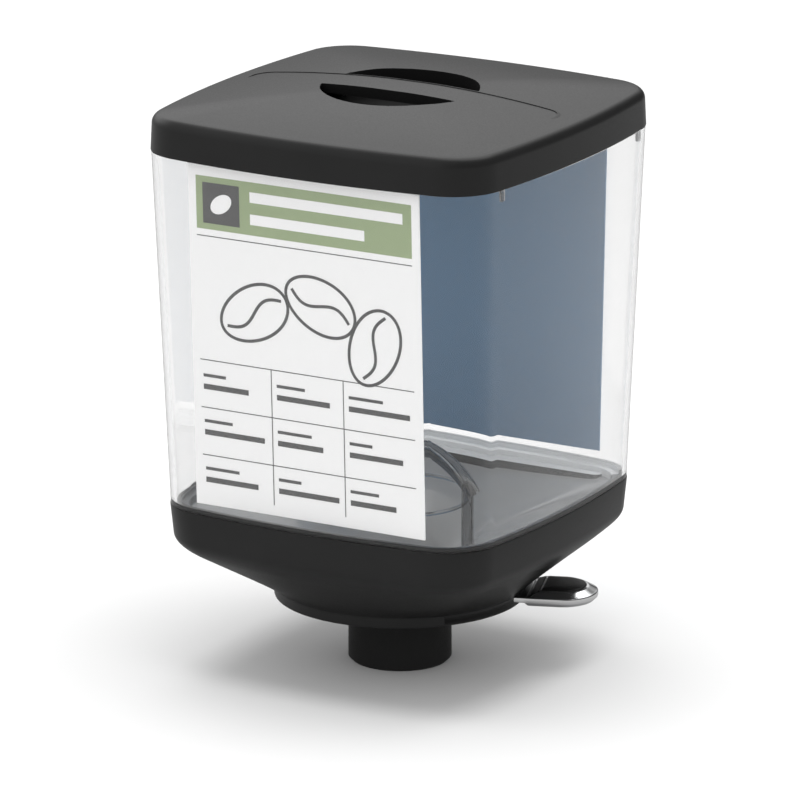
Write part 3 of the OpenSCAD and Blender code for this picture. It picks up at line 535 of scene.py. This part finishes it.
def makeBase(s, seam=bodySet["seam"]):
    run = s["half"] - s["turretR"]
    square = baseOutline

    def ring(inward, z, wall=0):
        # the share of the circle is the share of the way in
        share = inward / run
        return square(wall) * (1 - share) + (s["turretR"] - wall) * share, z

    # control points of the two curves lie where the straight parts beside them would meet
    sideSlope = s["side"][0] / (seam - s["side"][1])
    underSlope = (s["blend"][0] - s["round"][0]) / (s["round"][1] - s["blend"][1])
    meetZ = (sideSlope * seam - s["round"][0] - underSlope * s["round"][1]) / (sideSlope - underSlope)
    roundCurve = bezier(s["side"], (sideSlope * (seam - meetZ), meetZ), s["round"], 18)
    blendZ = s["blend"][1] - (run - s["blend"][0]) / underSlope
    blendCurve = bezier(s["blend"], (run, blendZ), s["turret"], 14)
    line = np.concatenate([[(0.0, seam - s["sideTop"])], [s["side"]], roundCurve[1:], blendCurve])
    e = s["footR"]
    rows = [(s["boreR"], s["foot"]), (s["turretR"] - e, s["foot"])]
    rows += [(s["turretR"] - e * softShare, s["foot"] + e * softShare), (s["turretR"], s["foot"] + e)]
    rows += [ring(*p) for p in line[::-1]]
    # the seam's edge, the lip and the inside
    near, far = s["seamR"]
    rows += [(square(near), seam - near), (square(far), seam)]
    outer, inner, lipZ = s["lip"]
    e = s["lipR"]
    rows += [(square(s["half"] - outer), h) for h in (seam, lipZ - e)]
    rows += [(square(s["half"] - outer + e), lipZ), (square(s["half"] - inner - e), lipZ)]
    rows += [(square(s["half"] - inner), h) for h in (lipZ - e, seam - s["lipDeep"])]
    rows += [(square(s["wall"] + s["lipStep"][0]), seam - s["lipStep"][1])]
    for inward, z in line[1::3]:
        lift = s["underLift"] * s["wall"] * min(1, inward / s["round"][0])
        rows.append(ring(inward, z + lift, s["wall"]))
    rows += [(s["boreR"], s["boreTop"])]
    base = buildPiece("baseHousing", [(rings(rows), True, True)], blackAbs, "hopper", "black_abs",
                      ["base_housing"])
    # the lever's slot is a ring's sector, and the screws' holes are round
    a = np.radians(np.linspace(-s["slotHalf"], s["slotHalf"], 60))
    arc = np.stack([np.cos(a), np.sin(a)], -1)
    z0, z1 = s["slotZ"]
    r0, r1 = s["slotR"]
    sector = np.stack([atHeight(arc * r, h) for r, h in ((r0, z0), (r1, z0), (r1, z1), (r0, z1))], 1)
    ends = [np.stack([sector[i, [0, 1]], sector[i, [3, 2]]]) for i in (0, -1)]
    slot = [(sector, False, True), (ends[0], False, False), (ends[1][::-1], False, False)]
    t = np.arange(32) * 2 * math.pi / 32
    hole = np.stack([np.cos(t), np.sin(t)], -1) * s["boreHoleR"]
    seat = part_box("funnel_screws")[0].z / mm + s["headH"]
    holes = [prism(hole + side * s["screwAt"], s["boreFrom"], seat) for side in (-1, 1)]
    carve(base, "DIFFERENCE", slot, *holes)
    # painted shade: the slot's faces inside the turret take the darker black
    x, y, z = facesOf(base)[:3]
    inSlot = (z > z0 - touch) & (z < z1 + touch)
    toneFaces(base, (np.hypot(x, y) < s["turretR"] - touch) & inSlot, recessPaintedShadeAbs)


makeBase(baseSet)
print("base made")

# funnel: upright edge behind the lip, flat rim, step, and a floor that falls faster towards the spout:
# its height goes with a power of the way out; a flat ledge with round ends lies below each card
funnelSet = {"rim": 84.0, "floor": 80.0, "floorZ": 79.2, "throatZ": 46.0, "spoutZ": 41.6, "spoutR": 23,
             "spoutWall": 2.4, "wall": 2.6, "power": 0.6, "crowd": 1.6, "floorFrom": 0.985,
             "edgeTop": 85.0, "edgeT": 0.5, "edgeR": 0.1, "foldR": 0.3, "stepR": 0.8, "stepLean": 0.6,
             "flange": (85.9, 85.15), "flangeT": 0.2, "rearFrom": 0.68, "highFrom": 0.15,
             "ledgeHalf": 65, "ledgeY": (72, 79.6), "ledgeZ": 80.5, "ledgeEnd": 4,
             "faceFrom": 72, "faceOut": 0.5, "faceSteep": 0.5,
             "ledgeRings": ((0, 10), (0, 0.3), (0.04, 0.15), (0.15, 0.04), (0.3, 0))}


def makeFunnel(s, base=baseSet, seam=bodySet["seam"]):
    def square(half):
        return baseOutline(base["half"] - half)

    floor = square(s["floor"])

    def fall(t, radius, drop):
        # the outline goes from the floor's square to the spout's circle, and rows crowd towards the spout
        share = t ** s["crowd"]
        z = s["throatZ"] + (s["floorZ"] - s["throatZ"]) * share ** s["power"]
        return floor * share + radius * (1 - share), z - drop

    e = s["stepR"]
    inner = s["rim"] - s["edgeT"]
    # the edge's top turns outwards over the rear lip
    rear = around[:, 1] > s["rearFrom"]
    flangeAt, flangeZ = s["flange"]
    over = np.where(rear, square(flangeAt), square(s["rim"]))
    overZ = np.where(rear, flangeZ, s["edgeTop"] - s["edgeR"])
    top = np.where(rear, flangeZ + s["flangeT"], s["edgeTop"])
    rows = [(square(s["rim"]), s["floorZ"] - s["wall"]), (square(s["rim"]), overZ), (over, overZ)]
    rows += [(over - s["edgeR"], top), (square(inner + s["edgeR"]), top), (square(inner), top - s["edgeR"])]
    rows += [(square(inner), seam + s["foldR"]), (square(inner - s["foldR"]), seam)]
    for a in np.radians(np.linspace(0, 80, 5)):
        rows.append((square(s["floor"] + e * (1 - math.sin(a))), seam - e * (1 - math.cos(a))))
    for a in np.radians(np.linspace(10, 90, 5)):
        inward = e * (1 - math.cos(a)) * s["stepLean"]
        rows.append((square(s["floor"] - inward), s["floorZ"] + e * (1 - math.sin(a))))
    rows += [fall(t, s["spoutR"], 0) for t in np.linspace(s["floorFrom"], 0, 40)]
    outside = s["spoutR"] + s["spoutWall"]
    rows += [(s["spoutR"], s["spoutZ"]), (outside, s["spoutZ"])]
    rows += [fall(t, outside, s["wall"]) for t in np.linspace(0, 1, 30)]
    grids = [(rings(rows), True, True)]
    # each ledge is a stack of outlines that come in round its upper edge
    half = s["ledgeHalf"]
    y0, y1 = s["ledgeY"]
    r = s["ledgeEnd"]
    t = np.linspace(0, quarter, 12)
    right = np.stack([half - r + r * np.cos(t), y0 + r - r * np.sin(t)], -1)
    outline = np.concatenate([[(half, y1)], right, (right * (-1, 1))[::-1], [(-half, y1)]])
    mid = np.array([0, (y0 + y1) / 2])
    size = np.array([half, (y1 - y0) / 2])
    for side in (-1, 1):
        stack = []
        for inset, drop in s["ledgeRings"] + ((size, 0),):
            drawnIn = mid + (outline - mid) * (1 - inset / size)
            stack.append(atHeight(drawnIn * (1, side), s["ledgeZ"] - drop))
        grids.append((np.stack(stack)[::side], False, True))
    funnel = buildPiece("funnelTray", grids, funnelPaintedReflection, "hopper", "smoked_plastic", ["funnel_tray"])
    # painted light and shade: the rear rim and ledge get the light tone, the flange a grey one, and the
    # ledges' faces and the side rims dark tones, for what each mirrors
    x, y, z, _, _, nz = facesOf(funnel)
    high = z > s["floorZ"] + s["highFrom"]
    behind = y > s["rearFrom"] * np.hypot(x, y)
    byLedge = (np.abs(y) > y0 - s["faceOut"]) & (np.abs(y) < y0 + r + touch)
    face = byLedge & (z > s["faceFrom"]) & (nz < s["faceSteep"])
    onFlange = (z > flangeZ - touch) & behind
    choice = np.select([onFlange, high & behind, high, face], [4, 1, 2, 3], 0)
    toneFaces(funnel, choice, funnelRimPaintedLight, funnelSidePaintedShade, funnelFacePaintedShade, funnelFlangePaintedGrey)


makeFunnel(funnelSet)

# guard: arch over the spout on two legs, and a ring between them, joined to one clear solid
guardSet = {"legX": 37.5, "legT": 5, "legW": 5, "half": 5, "archT": 3.5, "top": 107.8, "rise": 21.3,
            "endX": 43, "foot": 58.8, "ringR": (33.5, 35.38), "ringZ": (79.1, 80.6), "edge": 0.4}


def makeGuard(s):
    # the arch's section, across and along the radius, is carried round a circle, whose radius comes from the
    # arch's half width and its rise
    r = (s["endX"] ** 2 + s["rise"] ** 2) / (2 * s["rise"])
    axisZ = s["top"] - r
    e = s["edge"]
    middleR = r - s["archT"] / 2
    section = roundedLoop((s["half"], s["archT"] / 2), e) + (0, middleR)
    end = math.atan2(s["endX"], s["top"] - s["rise"] - axisZ)
    turn = np.linspace(-end, end, 80)[:, None]

    def sweep(p):
        # a section at each angle of the arch
        across = np.broadcast_to(p[:, 0], (len(turn), len(p)))
        return np.stack([p[:, 1] * np.sin(turn), across, axisZ + p[:, 1] * np.cos(turn)], -1)

    cap = sweep(np.broadcast_to(section.mean(0), section.shape))
    arch = np.concatenate([cap[:1], sweep(section), cap[-1:]])
    guard = buildPiece("fingerGuard", [(arch, False, True)], clearGuard, "hopper", "clear_polycarbonate",
                       ["finger_guard"])
    # legs go from the arch's middle down to the funnel's floor
    legs = []
    for side in (-1, 1):
        p = roundedLoop((s["legT"] / 2, s["legW"] / 2), e) + (side * s["legX"], 0)
        top = axisZ + np.sqrt(middleR ** 2 - p[:, 0] ** 2)
        mid = np.broadcast_to(p.mean(0), p.shape)
        leg = [atHeight(mid, s["foot"]), atHeight(p, s["foot"]), atHeight(p, top), atHeight(mid, top.mean())]
        legs.append([(np.stack(leg), False, True)])
    r0, r1 = s["ringR"]
    z0, z1 = s["ringZ"]
    hoop = rings([(r0, z0 + e), (r0 + e, z0), (r1 - e, z0), (r1, z0 + e),
                  (r1, z1 - e), (r1 - e, z1), (r0 + e, z1), (r0, z1 - e)])
    carve(guard, "UNION", *legs, [(hoop, True, True)])


makeGuard(guardSet)
print("funnel and guard made")

# cards: the CAD cards get their stock, and a generic label lies on the front one
cardSet = {"y": 81.54, "z": 88.0, "lean": 2.037, "lift": 0.06}
sheets = {"front_card": whiteCard, "rear_card": blueCard,
          "front_card_holder": clearFilm, "rear_card_holder": clearFilm}
for name, material in sheets.items():
    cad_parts[name].data.materials.clear()
    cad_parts[name].data.materials.append(material)


def onCard(uv, lift=0, s=cardSet):
    # label coordinates, across and up from the card's foot, to the leaning front face
    lean = math.radians(s["lean"])
    u = uv[..., 0]
    v = uv[..., 1]
    return np.stack([u, -s["y"] - s["lift"] - v * math.sin(lean) - lift, s["z"] + v * math.cos(lean)], -1)


def bar(u0, u1, v0, v1):
    # rectangle as a grid of one face
    return np.array([[(u0, v0), (u1, v0)], [(u0, v1), (u1, v1)]], float)


def stroke(path, width):
    # ribbon along a path: each point moved both ways along its normal
    d = np.gradient(path, axis=0)
    n = np.stack([-d[:, 1], d[:, 0]], -1) / np.hypot(*d.T)[:, None]
    return np.stack([path + n * width / 2, path - n * width / 2])


def blob(path):
    # filled shape: a fan from its middle
    return np.stack([np.broadcast_to(path.mean(0), path.shape), path])


def turned(path, angle, at):
    # path turned about its own origin and put at a place
    a = math.radians(angle)
    return path @ np.array([[math.cos(a), math.sin(a)], [-math.sin(a), math.cos(a)]]) + at


# label, in the card's own coordinates: a block or bar of the header is (left, right, low, high), its seed is
# (half length, half width, turn), a bean (turn, place), and a cell's bar (length, step, low, high)
labelSet = {"side": 56.5, "header": (133, 158.2), "block": (-53, -33.6, 135.9, 155.3),
            "headerBars": ((-28, 52, 148.5, 153.5), (-28, 32, 138, 143)), "seed": (6.2, 4.0, 35),
            "bean": (19, 12.5), "beanSkew": 0.06, "crease": (0.86, 3.2), "stroke": 1.5, "rule": 0.45,
            "beans": ((28, (-27, 96)), (-24, (8, 104)), (68, (36, 88))),
            "rulesV": (129.5, 70, 47, 24), "rulesU": (-19, 19), "tableFoot": 5, "tableTop": 70,
            "cellsU": (-55, -16, 22), "cellsV": (62, 40, 17),
            "short": (12, 3, 0, 1.5), "long": (24, 4, -6, -3.4), "printLift": 0.05, "lightLift": 0.1}


def makeLabel(s):
    # flat ribbons and bars on the card: three outlined beans, a ruled table and a header
    t = np.linspace(0, 2 * math.pi, 73)
    w = np.linspace(-1, 1, 40)
    long, wide = s["bean"]
    reach, wave = s["crease"]
    bean = np.stack([long * np.cos(t), wide * np.sin(t) * (1 + s["beanSkew"] * np.cos(t))], -1)
    crease = np.stack([long * reach * w, wave * np.sin(w * math.pi)], -1)
    grey = [stroke(turned(line, *place), s["stroke"]) for place in s["beans"] for line in (bean, crease)]
    grey += [bar(-s["side"], s["side"], v, v + s["rule"]) for v in s["rulesV"]]
    grey += [bar(u, u + s["rule"], s["tableFoot"], s["tableTop"]) for u in s["rulesU"]]
    for column, u in enumerate(s["cellsU"]):
        for row, v in enumerate(s["cellsV"]):
            # each cell has a short and a long bar, in three lengths that take turns
            for (length, more, v0, v1), turn in ((s["short"], column + row), (s["long"], column + 2 * row)):
                grey.append(bar(u, u + length + more * (turn % 3), v + v0, v + v1))
    u0, u1, v0, v1 = s["block"]
    grey.append(bar(u0, u1, v0, v1))
    seedLong, seedWide, seedTurn = s["seed"]
    seed = np.stack([seedLong * np.cos(t), seedWide * np.sin(t)], -1)
    white = [blob(turned(seed, seedTurn, ((u0 + u1) / 2, (v0 + v1) / 2)))]
    white += [bar(*sides) for sides in s["headerBars"]]
    green = [bar(-s["side"], s["side"], *s["header"])]
    prints = (("labelHeader", green, sageInk, 0), ("labelPrint", grey, greyInk, s["printLift"]),
              ("labelLight", white, whiteCard, s["lightLift"]))
    for piece, shapes, ink, lift in prints:
        grids = [(onCard(shape, lift), False, False) for shape in shapes]
        buildPiece(piece, grids, ink, "hopper", "printed_card")


makeLabel(labelSet)
print("cards made")

# lever: half-round blade with a bevelled top, a hollow underside rim and a domed pad; the strap runs through
# the slot. A row of hollow is (root further out, inset, height over the lower edge)
leverSet = {"angle": 20.5, "half": 16.8, "tipX": 77.0, "root": 61.05, "middle": 76,
            "z": (32.7, 34.6, 37.2, 39.4),
            "hollow": ((8.95, 8, 0.9), (3.4, 3.2, 0.8), (3.0, 2.9, 0.1), (2.4, 2.3, 0)),
            "rim": 1.9, "rimRoot": 1.5, "rimLow": 0.15, "band": 0.55, "shoulder": (2.3, 0.5, 0.75),
            "bevelIn": 4.4, "bevelEnd": 0.2, "padIn": 5.35, "padTop": 40.6, "padDome": 5.2,
            "padSunk": 0.6, "padRise": 0.1, "padCap": 0.02, "underPad": 1,
            "rootFacing": -0.25, "darkReflectionFlat": 0.5, "brightSteep": 0.6,
            "strapX": 52.7, "strapIn": 0.06, "strapOver": 1.5, "strapR": 0.5,
            "tongue": (34.3, 54), "tongueHalf": 12.8, "tongueZ": 35.95, "tongueR": 0.3}


def bladeRing(root, inset, z, s=leverSet):
    # outline of the blade set in by a distance: straight root, straight sides and a half circle at the tip
    r = s["half"] - inset
    a = np.linspace(-quarter, quarter, 65)
    tip = np.stack([s["tipX"] + r * np.cos(a), r * np.sin(a)], -1)
    t = np.linspace(0, 1, 10)[:-1, None]
    along = root + (s["tipX"] - root) * t
    right = np.c_[along, np.full(9, -r)]
    left = np.c_[along, np.full(9, r)]
    back = np.c_[np.full(9, root), r - 2 * r * t]
    path = np.concatenate([right, tip, left[1:][::-1], [(root, r)], back[1:]])
    return atHeight(turned(path, s["angle"], (0, 0)), z)


def makeLever(s):
    z0, z1, z2, z3 = s["z"]
    root = s["root"]
    turn = math.radians(s["angle"])
    shoulderRoot, shoulderIn, shoulderH = s["shoulder"]
    # from the hollow underside round the rim, up the band, over the shoulder and along the bevel to the pad
    rows = [bladeRing(root + out, inset, z0 + up) for out, inset, up in s["hollow"]]
    for q in np.linspace(0, 0.9, 6):
        rimZ = z0 + s["rimLow"] + q * s["rim"]
        rows.append(bladeRing(root + s["rim"] - q * s["rimRoot"], s["rim"] * (1 - q), rimZ))
    rows += [bladeRing(root, 0, z) for z in (z1 + s["band"], z2 - shoulderH)]
    for a in np.radians(np.linspace(15, 75, 5)):
        way = 1 - math.cos(a)
        shoulderZ = z2 - shoulderH + shoulderH * math.sin(a)
        rows.append(bladeRing(root + shoulderRoot * way, shoulderIn * way, shoulderZ))
    bevelRoot = root + shoulderRoot
    padRoot = bevelRoot + s["padIn"]
    for q in np.linspace(0.05, 0.93, 8):
        inset = shoulderIn + (s["bevelIn"] - shoulderIn) * q
        rows.append(bladeRing(bevelRoot + s["bevelIn"] * q, inset, z2 + (z3 - z2) * q))
    bevelTop = s["bevelIn"] + s["bevelEnd"]
    rows += [bladeRing(bevelRoot + bevelTop, bevelTop, z3)]
    rows += [bladeRing(padRoot + s["underPad"], s["padIn"] + s["underPad"], z3)]
    mid = np.array([math.cos(turn), math.sin(turn)]) * s["middle"]

    def fan(z):
        # a row drawn to one point on the blade's middle line
        return atHeight(np.broadcast_to(mid, (len(rows[0]), 2)), z)

    blade = np.stack([fan(z0 + s["hollow"][0][2])] + rows + [fan(z3)])
    across = s["half"] - s["strapIn"]
    strap = roundedBox((s["strapX"], -across, z1), (root + s["strapOver"], across, z2), s["strapR"])
    x0, x1 = s["tongue"]
    tongue = roundedBox((x0, -s["tongueHalf"], s["tongueZ"]), (x1, s["tongueHalf"], z2), s["tongueR"])
    spin = np.array([[math.cos(turn), math.sin(turn), 0], [-math.sin(turn), math.cos(turn), 0], [0, 0, 1]])
    grids = [(blade, False, True)] + [(grid @ spin, a, b) for grid, a, b in (strap, tongue)]
    lever = buildPiece("leverFrame", grids, chromedZinc, "shutter", "chromed_zinc", ["lever_frame"])
    # painted dark reflection: the bevel towards the turret takes the pad's black, for the dark base it
    # mirrors, and the upright rim is polished
    z, nx, ny, nz = facesOf(lever)[2:]
    outward = nx * math.cos(turn) + ny * math.sin(turn)
    rootward = (outward < s["rootFacing"]) & (nz > s["darkReflectionFlat"]) & (z > z2 - touch)
    upright = (np.abs(nz) < s["brightSteep"]) & (z > z1)
    toneFaces(lever, np.select([rootward, upright], [1, 2], 0), padBlackAndPaintedReflection, brightZinc)
    # the pad's dome is a quarter ellipse from its edge inwards
    rows = [bladeRing(padRoot, s["padIn"], h) for h in (z3 - s["padSunk"], z3 + s["padRise"])]
    for a in np.radians(np.linspace(10, 90, 12)):
        way = s["padDome"] * (1 - math.cos(a))
        rows.append(bladeRing(padRoot + way, s["padIn"] + way, z3 + (s["padTop"] - z3) * math.sin(a)))
    pad = np.stack([fan(z3 - s["padSunk"])] + rows + [fan(s["padTop"] + s["padCap"])])
    buildPiece("leverPad", [(pad, False, True)], padBlackAndPaintedReflection, "shutter", "pad_plastic", ["lever_pad"])


makeLever(leverSet)
print("lever made")

# the other CAD pieces keep their shape and get their finish
finishes = [("outlet_neck", neckAbs, "black_abs", "hopper"),
            ("spout_seal", sealRubber, "seal_rubber", "hopper"),
            ("shutter_seat", darkAcetal, "dark_acetal", "hopper"),
            ("shutter_disc", darkAcetal, "dark_acetal", "shutter"),
            ("lever_rivets", zincSteel, "zinc_steel", "shutter")]
steelNodes = ("funnel_screws", "guard_screws", "pivot_bolt", "pivot_washer", "pivot_nut", "outlet_screws")
finishes += [(node, zincSteel, "zinc_steel", "hopper") for node in steelNodes]
# the points of the guard's screws end a little below its clear legs, in which no metal shows
pointBelow = 1
for node, material, slot, body in finishes:
    piece = carryOver(node, material, slot, body)
    if node == "guard_screws":
        places = np.zeros(len(piece.data.vertices) * 3)
        piece.data.vertices.foreach_get("co", places)
        places[2::3] = np.minimum(places[2::3], (guardSet["foot"] - pointBelow) * mm)
        piece.data.vertices.foreach_set("co", places)
print("small pieces finished")

# studio, in metres: pale floor that keeps the shadow, a soft top light, a weaker one at the right, and a
# darker side behind the camera. Back, left and lamp are glows: (level, towards, start, full). A box is
# (place, size, power) and a stop of the band (height, level)
studioSet = {"floorHalf": 6.0, "floor": 0.66, "floorInGloss": 0.28, "world": 1.12, "dim": 0.05,
             "back": (1.24, (-0.72, 0.58, 0.38), 0.6, 1.0), "left": (0.5, (-0.8, -0.6, 0.0), -0.2, 0.9),
             "lamp": (1.9, (-0.05, 0.44, 0.896), 0.84, 0.965),
             "band": ((0.06, 0.0), (0.36, 1.0), (0.6, 1.0), (0.72, 0.08)), "aim": (0, 0, 0.15),
             "boxes": {"topBox": ((0.0, 0.1, 2.2), 2.0, 46), "rightBox": ((2.0, -0.2, 1.0), 1.2, 1)}}


def mirroredRays(tree):
    # 1 for a ray that a glossy face sends on, and 0 for one that comes through the clear plastic
    path = addNode(tree, "ShaderNodeLightPath").outputs
    return addNode(tree, "ShaderNodeMath", links={0: path["Is Glossy Ray"], 1: path["Is Transmission Ray"]},
                   operation="SUBTRACT", use_clamp=True).outputs[0]


def makeFloor(s):
    # one square face, darker where the object mirrors it
    h = s["floorHalf"]
    mesh = bpy.data.meshes.new("studioFloor")
    mesh.from_pydata([(-h, -h, 0), (h, -h, 0), (h, h, 0), (-h, h, 0)], [], [(0, 1, 2, 3)])
    floor = bpy.data.objects.new("studioFloor", mesh)
    scene.collection.objects.link(floor)
    material, tree = startMaterial("paleFloor")[:2]
    shades = {colourA: (s["floor"],) * 3 + (1,), colourB: (s["floorInGloss"],) * 3 + (1,)}
    tone = addNode(tree, "ShaderNodeMix", shades, {"Factor": mirroredRays(tree)}, data_type="RGBA")
    diffuse = addNode(tree, "ShaderNodeBsdfDiffuse", links={"Color": tone.outputs[colourOut]})
    endMaterial(tree, diffuse.outputs["BSDF"])
    mesh.materials.append(material)


def makeWorld(s):
    # even white light, and in mirrored rays the sum of a band behind, a glow at the left and a lamp above
    world = bpy.data.worlds.new("studioWorld")
    scene.world = world
    world.use_nodes = True
    tree = world.node_tree
    tree.nodes.clear()
    way = addNode(tree, "ShaderNodeTexCoord").outputs["Generated"]
    height = addNode(tree, "ShaderNodeSeparateXYZ", links={0: way}).outputs["Z"]
    band = addNode(tree, "ShaderNodeValToRGB", links={"Fac": height})
    stops = band.color_ramp.elements
    while len(stops) < len(s["band"]):
        stops.new(0.5)
    for stop, (at, value) in zip(stops, s["band"]):
        stop.position = at
        stop.color = (value, value, value, 1)

    def glow(level, towards, start, full):
        # rises from nothing to its level as the ray turns towards its direction
        facing = addNode(tree, "ShaderNodeVectorMath", {1: towards}, {0: way}, operation="DOT_PRODUCT")
        rise = {"From Min": start, "From Max": full, "To Min": 0, "To Max": level}
        return addNode(tree, "ShaderNodeMapRange", rise, {"Value": facing.outputs["Value"]},
                       interpolation_type="SMOOTHSTEP").outputs["Result"]

    back = addNode(tree, "ShaderNodeMath", links={0: glow(*s["back"]), 1: band.outputs["Color"]},
                   operation="MULTIPLY")
    both = addNode(tree, "ShaderNodeMath", links={0: back.outputs[0], 1: glow(*s["left"])}, operation="ADD")
    lamp = addNode(tree, "ShaderNodeMath", {1: s["dim"]}, {0: glow(*s["lamp"])}, operation="ADD")
    shine = addNode(tree, "ShaderNodeMath", links={0: both.outputs[0], 1: lamp.outputs[0]}, operation="ADD")
    level = addNode(tree, "ShaderNodeMapRange", {"To Min": s["world"]},
                    {"Value": mirroredRays(tree), "To Max": shine.outputs[0]})
    sky = addNode(tree, "ShaderNodeBackground", {"Color": (1, 1, 1, 1)},
                  {"Strength": level.outputs["Result"]})
    addNode(tree, "ShaderNodeOutputWorld", links={"Surface": sky.outputs["Background"]})


def softBox(name, at, size, power, target):
    # square lamp turned to its target, and left out of the mirrored picture
    data = bpy.data.lights.new(name, "AREA")
    data.shape = "SQUARE"
    data.size = size
    data.energy = power
    lamp = bpy.data.objects.new(name, data)
    lamp.location = at
    aim = np.array(target) - np.array(at)
    lean = math.atan2(math.hypot(aim[0], aim[1]), -aim[2])
    lamp.rotation_euler = (lean, 0, math.atan2(aim[1], aim[0]) - quarter)
    lamp.visible_glossy = False
    scene.collection.objects.link(lamp)


makeFloor(studioSet)
makeWorld(studioSet)
for name, box in studioSet["boxes"].items():
    softBox(name, *box, studioSet["aim"])
scene.view_settings.view_transform = "Standard"
print("studio made")
